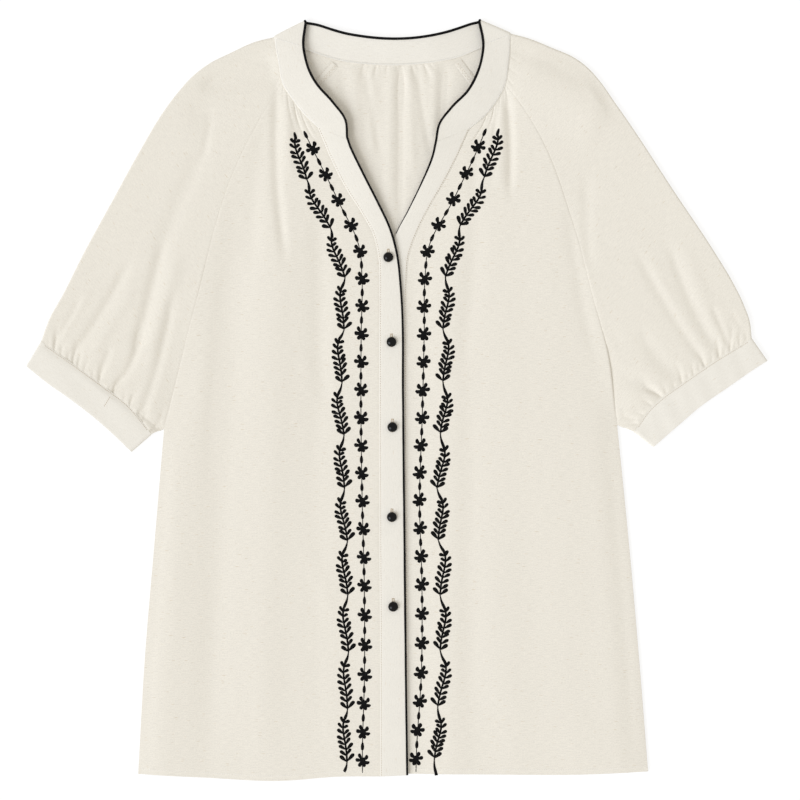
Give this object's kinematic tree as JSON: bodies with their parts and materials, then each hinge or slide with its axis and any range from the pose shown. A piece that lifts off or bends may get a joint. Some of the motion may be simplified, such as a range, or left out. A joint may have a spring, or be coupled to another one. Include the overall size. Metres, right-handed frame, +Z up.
{
  "type": "embroidered short-sleeved raglan blouse, laid flat",
  "caption": "Loose ivory blouse laid face up, with raglan sleeves, narrow cuffs, a gathered round neck that opens to a V, a piped placket and round black buttons.",
  "frame": {"origin": "middle of the blouse's outline, on the surface that it lies on", "axes": "+Z up from the surface, +Y from the hem to the neck, +X to the wearer's left, which is the viewer's right"},
  "size_m": [0.7416, 0.7614, 0.0105],
  "materials": {
    "cloth": "matte ivory slub weave",
    "facing": "matte ivory slub weave, doubled",
    "piping": "black cord",
    "button": "glossy black"
  },
  "bodies": {
    "root": {"back": "cloth", "front_right": "cloth", "front_left": "cloth", "sleeve_right": "cloth", "sleeve_left": "cloth", "cuff_right": "facing", "cuff_left": "facing", "neck_band": "facing", "placket_right": "facing", "placket_left": "facing", "piping": "piping", "button_1": "button", "button_2": "button", "button_3": "button", "button_4": "button", "button_5": "button"}
  },
  "joints": []
}
